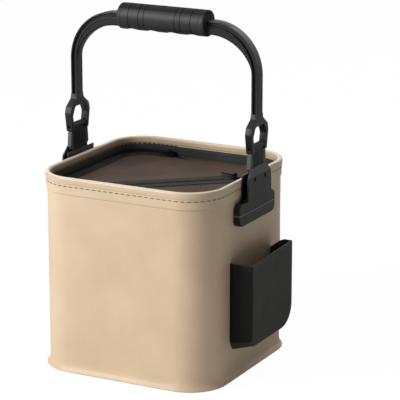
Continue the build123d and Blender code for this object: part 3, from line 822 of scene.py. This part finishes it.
def makeHem(look):
    half = tub["half"] + look["proud"]
    corner = tub["corner"] + look["proud"]
    shape = makeRing(look, half, corner)
    for vert in shape.verts:
        if abs(vert.co.x) < half - tub["sideZone"]:
            wave = ripple(vert.co, look["waveSize"], look["seed"])
            vert.co += vert.normal * look["waves"] * wave
    hem = finishPiece("hem_band", shape, "hemCloth", None, ["rim_band"])
    thicken(hem, look["proud"] + tub["wall"])
    roundRims(hem, look["edge"], look["edgeSteps"])
    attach(hem, "rim")
    stitches = bmesh.new()
    runs = squareRuns(half + look["stands"], corner + look["stands"])
    plantRow(stitches, look["stitch"], lifted(walk(runs, look["pitch"]), look["row"]))
    finishPiece(
        "hem_stitches", stitches, "brownThread", "rim", sharp=rowSharp
    )


makeHem(hemLook)

# Rolled edge on top of the hem

rollLook = {
    "outer": 122.2, "width": 6.4, "low": 241.3, "high": 251.0, "round": 3.0, "roundSteps": 6,
    "loops": 5, "waves": 0.16, "waveSize": 22, "seed": 5.0,
}


def makeRoll(look):
    half = look["outer"] - look["width"] / 2
    corner = tub["corner"] + half - tub["half"]
    shape = makeRing(look, half, corner)
    for vert in shape.verts:
        if abs(vert.co.x) < half - tub["sideZone"]:
            wave = ripple(vert.co * Vector((1, 1, 0)), look["waveSize"], look["seed"])
            vert.co += vert.normal * look["waves"] * wave
    roll = finishPiece("rolled_edge", shape, "rollCloth", None, ["rim_roll"])
    thicken(roll, look["width"], 0)
    roundRims(roll, look["round"], look["roundSteps"])
    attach(roll, "rim")


makeRoll(rollLook)

# Dark band inside the mouth, sewn to the hem along its left and back

mouthLook = {
    "inset": 3.3, "low": 227.0, "high": 241.0, "thick": 1.3, "loops": 6, "rows": 3.5,
    "stitch": (4.4, 1.3, 2.0), "pitch": 6.4, "row": 241.5, "seamEnd": -44.0,
}


def makeMouthBand(look):
    half = tub["half"] - look["inset"]
    corner = tub["corner"] - look["inset"]
    shape = makeRing(look, half, corner)
    band = finishPiece("mouth_band", shape, "mouthCloth", None, ["zip_band"])
    thicken(band, look["thick"])
    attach(band, "rim")
    straight = half - corner
    half -= look["thick"]
    corner -= look["thick"]
    seam = [
        lineRun((look["seamEnd"], half), (-straight, half)),
        arcRun((-straight, straight), corner, 90, 180),
        lineRun((-half, straight), (-half, -straight)),
        arcRun((-straight, -straight), corner, 180, 270),
    ]
    stitches = bmesh.new()
    plantRow(stitches, look["stitch"], lifted(walk(seam, look["pitch"]), look["row"]))
    finishPiece(
        "mouth_stitches", stitches, "darkThread", "rim", sharp=rowSharp
    )


makeMouthBand(mouthLook)
print("mouth made")

# The lid: two sheets of cloth, joined by a zip that goes round the flap

lid = {
    "top": 229.0, "reach": 118, "chainInset": 10.5, "zipAngle": 40.0, "zipOffset": 22.0,
    "foldBack": -72.0, "foldAlongZip": 93.0, "pastFold": 17.0, "bend": 9.0, "bendSteps": 4,
    "pitch": 6, "dip": 1.5, "bandInset": 6, "stillFor": 16, "dipsOver": 34,
    "waves": 0.7,
}
lidWaves = [{"share": 0.6, "size": 38, "seed": 9.0}, {"share": 0.4, "size": 15, "seed": 4.0}]
zipTurn = math.radians(lid["zipAngle"])
zipWay = Vector((math.cos(zipTurn), math.sin(zipTurn)))
zipSide = Vector((-zipWay.y, zipWay.x))
zipMiddle = Vector((0, -lid["zipOffset"]))
chainLine = tub["half"] - lid["chainInset"]
foldStart = Vector((lid["foldBack"], chainLine))
foldEnd = zipMiddle + zipWay * lid["foldAlongZip"]
foldWay = (foldEnd - foldStart).normalized()
foldSide = Vector((foldWay.y, -foldWay.x))  # from the fold towards the flap


def lidDip(point):
    # the cloth hangs a little between the band and the zip
    fromBand = tub["half"] - lid["bandInset"] - max(abs(point.x), abs(point.y))
    fromZip = abs((point.xy - zipMiddle).dot(zipSide))
    free = (min(fromBand, fromZip) - lid["stillFor"]) / lid["dipsOver"]
    free = min(1.0, max(0.0, free))
    free = free * free * (3 - 2 * free)
    wave = sum(look["share"] * ripple(point, look["size"], look["seed"]) for look in lidWaves)
    return free * (-lid["dip"] + lid["waves"] * wave)


def bendAtFold(piece):
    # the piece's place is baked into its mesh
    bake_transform(piece)


def cutCloth(shape, pitch):
    # edge loops all over, and close ones where the flap bends
    cutSides(shape, lid["reach"], pitch)
    for step in range(1, lid["bendSteps"] + 1):
        line = foldStart + foldSide * (lid["bend"] * step / lid["bendSteps"])
        bmesh.ops.bisect_plane(
            shape, geom=everything(shape), plane_co=line.to_3d(), plane_no=foldSide.to_3d()
        )


def makeLidSheet(name, node):
    shape = copyNode(node)
    cutCloth(shape, lid["pitch"])
    for vert in shape.verts:
        vert.co.z += lidDip(vert.co)
    return finishPiece(name, shape, "lidCloth", None, [node], clothSharp)


tapeLook = {"pitch": 8, "waves": 0.12, "waveSize": 14, "seed": 2.0}


def makeTape(name, node, look):
    shape = copyNode(node)
    cutCloth(shape, look["pitch"])
    for vert in shape.verts:
        vert.co.z += look["waves"] * ripple(vert.co, look["waveSize"], look["seed"])
    return finishPiece(name, shape, "zipTapeCloth", None, [node], clothSharp)


def chainRuns(offset, past):
    # the zip's line moved by offset towards the flap: round the flap, or the two ends past the
    # fold. The band is in the way of a row that lies further out
    along = min(chainLine - offset, chainLine + toothLook["room"])
    centre = tub["half"] - tub["corner"]
    radius = along - centre
    rise = (Vector((-centre, -centre)) - zipMiddle).dot(zipSide)
    meet = lid["zipAngle"] + 180 + math.degrees(math.asin((rise - offset) / radius))
    bend = math.radians(meet)
    hit = Vector((-centre, -centre)) + radius * Vector((math.cos(bend), math.sin(bend)))
    end = zipMiddle + zipSide * offset + zipWay * lid["foldAlongZip"]
    if past:
        return (
            [lineRun((lid["foldBack"] + lid["pastFold"], along), (lid["foldBack"], along))],
            [lineRun(end, end + zipWay * lid["pastFold"])],
        )
    return ([
        lineRun((lid["foldBack"], along), (-centre, along)),
        arcRun((-centre, centre), radius, 90, 180),
        lineRun((-along, centre), (-along, -centre)),
        arcRun((-centre, -centre), radius, 180, meet),
        lineRun(hit, end),
    ],)


toothLook = {
    "size": (1.05, 2.35, 3.1), "pitch": 1.5, "offset": 1.78, "z": 229.4, "room": 6,
}
seamLook = {"size": (2.4, 0.6, 0.55), "pitch": 3.4, "near": 5.2, "far": 14.6, "z": 229.85}


def makeChain(name, node, sides, body):
    teeth = bmesh.new()
    pitch = toothLook["pitch"]
    for side, past in sides:
        for runs in chainRuns(side * toothLook["offset"], past):
            first = pitch * (1.0 if side < 0 else 0.5)  # the two rows mesh
            spots = lifted(walk(runs, pitch, first), toothLook["z"])
            plantRow(teeth, toothLook["size"], spots)
    return finishPiece(name, teeth, "coilPlastic", body, [node], rowSharp)


def makeSeams(name, sides, body):
    # one row close to the teeth all the way, and a second where the crossing tape is wide
    stitches = bmesh.new()
    for side, past in sides:
        rows = list(chainRuns(side * seamLook["near"], past))
        rows.append(chainRuns(side * seamLook["far"], past)[-1][-1:])
        for runs in rows:
            spots = lifted(walk(runs, seamLook["pitch"]), seamLook["z"])
            plantRow(stitches, seamLook["size"], spots)
    return finishPiece(name, stitches, "darkThread", body, sharp=rowSharp)


fixedSides = [(-1, False), (-1, True), (1, True)]
fixedSheet = makeLidSheet("lid_sheet", "lid_fixed_panel")
fixedTape = makeTape("zip_tape_on_lid", "zip_tape_fixed", tapeLook)
makeChain("zip_teeth_on_lid", "zip_coil_fixed", fixedSides, "rim")
makeSeams("zip_seams_on_lid", fixedSides, "rim")
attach(fixedSheet, "rim")
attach(fixedTape, "rim")

flapSides = [(1, False)]
flapSheet = makeLidSheet("lid_flap_sheet", "lid_flap_panel")
flapTape = makeTape("zip_tape_on_flap", "zip_tape_flap", tapeLook)
flapTeeth = makeChain("zip_teeth_on_flap", "zip_coil_flap", flapSides, None)
flapSeams = makeSeams("zip_seams_on_flap", flapSides, None)
for piece in (flapSheet, flapTape, flapTeeth, flapSeams):
    bendAtFold(piece)
print("lid made")

# Open pocket on the right side: a front, two ends and a bottom fixed to the wall

pocketLook = {
    "half": 57.8, "wall": 120.2, "front": 150.8, "low": 47.0, "high": 151.0, "nearRound": 14.0,
    "farRound": 28.0, "roundSteps": 8, "edge": 3.0, "edgeSteps": 4, "loops": (6, 9, 9),
    "thick": 2.4, "hangsAtWall": 9.5, "reach": 22.0, "risesAtBack": 4.0, "bow": 0.8,
    "rim": 0.8, "rimSteps": 2, "rimSharp": 60, "slack": 12.0, "slackFrom": 0.5,
}


def hangPocket(look, point):
    # the rubber hangs lower at the wall, and its mouth stands higher at the back
    low = max(0.0, 1 - (point.z - look["low"]) / look["reach"])
    high = max(0.0, 1 - (look["high"] - point.z) / look["reach"])
    inward = (look["front"] - point.x) / (look["front"] - look["wall"])
    back = (point.y + look["half"]) / (2 * look["half"])
    middle = max(0.0, 1 - (point.y / look["half"]) ** 2)
    point.z += high * look["risesAtBack"] * back - low * look["hangsAtWall"] * inward
    point.x -= high * look["bow"] * middle * (1 - inward)
    if point.y > look["half"] - near:
        # the far end hangs slack between the wall and the front
        slack = max(0.0, inward - look["slackFrom"]) / (1 - look["slackFrom"])
        point.z -= high * look["slack"] * slack


def makePocket(look):
    shape = bmesh.new()
    size = (look["front"] - look["wall"], 2 * look["half"], look["high"] - look["low"])
    middle = ((look["front"] + look["wall"]) / 2, 0, (look["high"] + look["low"]) / 2)
    createBlock(shape, size, middle)
    for end, radius in ((-1, look["nearRound"]), (1, look["farRound"])):
        corner = [
            e for e in shape.edges
            if all(v.co.y * end > look["half"] - near for v in e.verts)
            and all(v.co.z < look["low"] + near for v in e.verts)
        ]
        bevelEdges(shape, corner, radius, look["roundSteps"])
    front = [
        e for e in shape.edges
        if all(v.co.x > look["front"] - near for v in e.verts)
        and not all(v.co.z > look["high"] - near for v in e.verts)
    ]
    bevelEdges(shape, front, look["edge"], look["edgeSteps"])
    opened = []
    for face in shape.faces:
        centre = face.calc_center_median()
        if centre.x < look["wall"] + near or centre.z > look["high"] - near:
            opened.append(face)
    bmesh.ops.delete(shape, geom=opened, context="FACES")
    pitches = look["loops"]
    cutAcross(shape, (1, 0, 0), steps(look["wall"], look["front"], pitches[0]))
    cutAcross(shape, (0, 1, 0), steps(-look["half"], look["half"], pitches[1]))
    cutAcross(shape, (0, 0, 1), steps(look["low"], look["high"], pitches[2]))
    for vert in shape.verts:
        hangPocket(look, vert.co)
    pocket = finishPiece(
        "pocket_shell", shape, "pocketRubber", None, ["side_pocket"]
    )
    thicken(pocket, look["thick"])
    rim = roundRims(pocket, look["rim"], look["rimSteps"])
    rim.angle_limit = math.radians(look["rimSharp"])
    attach(pocket, "tub")
    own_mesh(pocket)


makePocket(pocketLook)
print("pocket made")

# Bail shoulders: each arm deepens on its inner side as it turns to the grip

shoulderLook = {
    "centre": (68.0, 374.0), "armInner": 54.5, "overlap": 2.0, "width": 13.2, "gripEnd": 56.0,
    "depths": (0.0, 1.2, 3.0, 4.8, 6.3, 7.4, 8.1, 8.5, 8.5), "edge": 1.8, "steps": 24,
    "edgeSteps": 3, "sharp": 0.9, "near": 0.5,
}
collarLook = {
    "height": 433.0, "around": 40, "ends": {1: 61.6, -1: 59.6},
    "start": [(52.8, 15.6), (53.6, 16.4)],
    "rim": [(-3.0, 16.5), (-0.9, 16.3), (-0.2, 15.8), (0.0, 15.1), (0.0, 4.0)],
}
forkLook = {"edge": 1.3, "edgeSteps": 2, "below": 331.0, "sharp": 45}


def isSharp(edge, angle):
    return len(edge.link_faces) == 2 and edge.calc_face_angle() > angle


def makeShoulder(name, look, side):
    shape = bmesh.new()
    across, up = look["centre"]
    ends = [
        shape.verts.new((across + look["armInner"] + look["overlap"], 0, up)),
        shape.verts.new((across + look["armInner"], 0, up)),
    ]
    start = shape.edges.new(ends)
    made = bmesh.ops.spin(
        shape, geom=ends + [start], cent=(across, 0, up), axis=(0, -1, 0),
        angle=math.radians(90), steps=look["steps"],
    )["geom_last"]
    depths = look["depths"]
    for vert in shape.verts:
        arm = Vector((vert.co.x - across, vert.co.z - up))
        if arm.length > look["armInner"] + look["overlap"] / 2:
            continue
        share = math.atan2(arm.y, arm.x) / (math.pi / 2) * (len(depths) - 1)
        step = min(len(depths) - 2, max(0, int(share)))
        depth = depths[step] + (depths[step + 1] - depths[step]) * (share - step)
        arm = arm.normalized() * (look["armInner"] - depth)
        vert.co = Vector((across + arm.x, 0, up + arm.y))
    last = [part for part in made if isinstance(part, bmesh.types.BMEdge)]
    made = bmesh.ops.extrude_edge_only(shape, edges=last)["geom"]
    for vert in made:
        if isinstance(vert, bmesh.types.BMVert):
            vert.co.x = look["gripEnd"]
    made = bmesh.ops.extrude_face_region(shape, geom=shape.faces[:])["geom"]
    fresh = [part for part in made if isinstance(part, bmesh.types.BMVert)]
    bmesh.ops.translate(shape, vec=(0, look["width"], 0), verts=fresh)
    bmesh.ops.translate(shape, vec=(0, -look["width"] / 2, 0), verts=shape.verts)
    if side < 0:
        bmesh.ops.scale(shape, vec=(-1, 1, 1), verts=shape.verts)
    bmesh.ops.recalc_face_normals(shape, faces=shape.faces)
    inner = []
    for edge in shape.edges:
        arms = [Vector((abs(v.co.x) - across, v.co.z - up)).length for v in edge.verts]
        if max(arms) < look["armInner"] + look["near"] and isSharp(edge, look["sharp"]):
            inner.append(edge)
    bevelEdges(shape, inner, look["edge"], look["edgeSteps"], clamp=True)
    finishPiece(name, shape, "bailPlastic", "bail", sharp=barSharp)


def makeCollar(name, look, side):
    # the flat end of the grip, turned round its axis
    shape = bmesh.new()
    end = look["ends"][side]
    points = look["start"] + [(end + back, radius) for back, radius in look["rim"]]
    row = [shape.verts.new((side * along, 0, radius)) for along, radius in points]
    line = [shape.edges.new((row[i], row[i + 1])) for i in range(len(row) - 1)]
    bmesh.ops.spin(
        shape, geom=row + line, cent=(0, 0, 0), axis=(1, 0, 0), angle=2 * math.pi,
        steps=look["around"], use_merge=True,
    )
    bmesh.ops.holes_fill(shape, edges=[e for e in shape.edges if e.is_boundary])
    bmesh.ops.recalc_face_normals(shape, faces=shape.faces)
    bmesh.ops.translate(shape, vec=(0, 0, look["height"]), verts=shape.verts)
    finishPiece(name, shape, "gripRubber", "bail", sharp=barSharp)


def makeBail(look):
    # the bail with its forks' edges round
    shape = copyNode("bail_frame")
    sharp = math.radians(look["sharp"])
    edges = [
        e for e in shape.edges
        if isSharp(e, sharp) and all(v.co.z < look["below"] for v in e.verts)
    ]
    bevelEdges(shape, edges, look["edge"], look["edgeSteps"], clamp=True)
    finishPiece("bail_body", shape, "bailPlastic", "bail", ["bail_frame"])


makeBail(forkLook)
for side, hand in ((1, "right"), (-1, "left")):
    makeShoulder(f"bail_shoulder_{hand}", shoulderLook, side)
    makeCollar(f"grip_collar_{hand}", collarLook, side)
print("bail shoulders and grip ends made")

# The CAD nodes that show as they are get their finish

nodeFinishes = {
    "base_panel": "boardPlastic", "rim_hoop": "hoopPlastic",
    "grip_upper": "gripRubber", "grip_lower": "gripRubber",
    "grip_screws": "sliderMetal", "zip_slider_a": "sliderMetal", "zip_slider_b": "sliderMetal",
    "zip_pull_a": "sliderMetal", "zip_pull_b": "sliderMetal",
}
bothSides = {
    "bracket_base": "bracketPlastic", "bracket_cover": "bracketPlastic",
    "bracket_inner_plate": "bracketPlastic", "bracket_screws": "screwSteel",
    "pivot_pin": "screwSteel", "swivel_ear": "earPlastic", "knuckle_pin": "sliderMetal",
}
for name, finish in bothSides.items():
    for side in ("right", "left"):
        nodeFinishes[f"{name}_{side}"] = finish
for name, finish in nodeFinishes.items():
    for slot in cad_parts[name].material_slots:
        slot.material = finishes[finish]
print("finishes given to", len(nodeFinishes), "nodes")

# Floor and backdrop

white = (1, 1, 1, 1)
stageLook = {
    "floor": 6.0, "paint": (0.9, 0.9, 0.9, 1), "glow": 1.02, "shadow": 0.95, "world": 0.15,
}


def makeStage(look):
    shape = bmesh.new()
    bmesh.ops.create_grid(shape, x_segments=1, y_segments=1, size=look["floor"])
    mesh = bpy.data.meshes.new("floor")
    shape.to_mesh(mesh)
    shape.free()
    floor = bpy.data.objects.new("floor", mesh)
    bpy.context.collection.objects.link(floor)
    material = bpy.data.materials.new("paleFloor")
    material.use_nodes = True
    tree = material.node_tree
    tree.nodes.clear()
    seen = Wire(tree, tree.nodes.new("ShaderNodeLightPath").outputs["Is Camera Ray"])
    plain = seen.node("ShaderNodeBsdfDiffuse", None, {"Color": look["paint"]})
    bright = seen.node("ShaderNodeEmission", None, {"Color": white, "Strength": look["glow"]})
    values = {0: seen * look["shadow"], 1: plain, 2: bright}
    mixed = seen.node("ShaderNodeMixShader", None, values)
    tree.links.new(mixed.socket, tree.nodes.new("ShaderNodeOutputMaterial").inputs[0])
    mesh.materials.append(material)

    world = bpy.data.worlds.new("studio")
    bpy.context.scene.world = world
    world.use_nodes = True
    tree = world.node_tree
    tree.nodes.clear()
    rays = tree.nodes.new("ShaderNodeLightPath")
    seen = Wire(tree, rays.outputs["Is Camera Ray"])
    for other in ("Is Glossy Ray", "Is Transmission Ray"):
        seen = seen.most(Wire(tree, rays.outputs[other]))
    strength = seen * (1 - look["world"]) + look["world"]
    sky = seen.node("ShaderNodeBackground", None, {"Color": white, "Strength": strength})
    tree.links.new(sky.socket, tree.nodes.new("ShaderNodeOutputWorld").inputs[0])


makeStage(stageLook)

lamps = {
    "key": {"place": (-1.7, -2.3, 1.7), "aim": (0, 0, 0.2), "size": 1.4, "power": 98},
    "top": {"place": (0.1, 0.8, 2.6), "aim": (0, 0, 0.2), "size": 1.8, "power": 9},
    "back": {"place": (0.2, 2.5, 1.5), "aim": (0, 0, 0.25), "size": 1.2, "power": 10},
}


def makeLamps(rig):
    for name, look in rig.items():
        lamp = bpy.data.objects.new(name, bpy.data.lights.new(name, "AREA"))
        lamp.data.size = look["size"]
        lamp.data.energy = look["power"]
        aim = Vector(look["aim"]) - Vector(look["place"])
        turn = aim.to_track_quat("-Z", "Y").to_matrix().to_4x4()
        lamp.matrix_world = Matrix.Translation(look["place"]) @ turn
        bpy.context.collection.objects.link(lamp)


makeLamps(lamps)
bpy.context.scene.view_settings.view_transform = "Standard"
print("stage and lamps set")
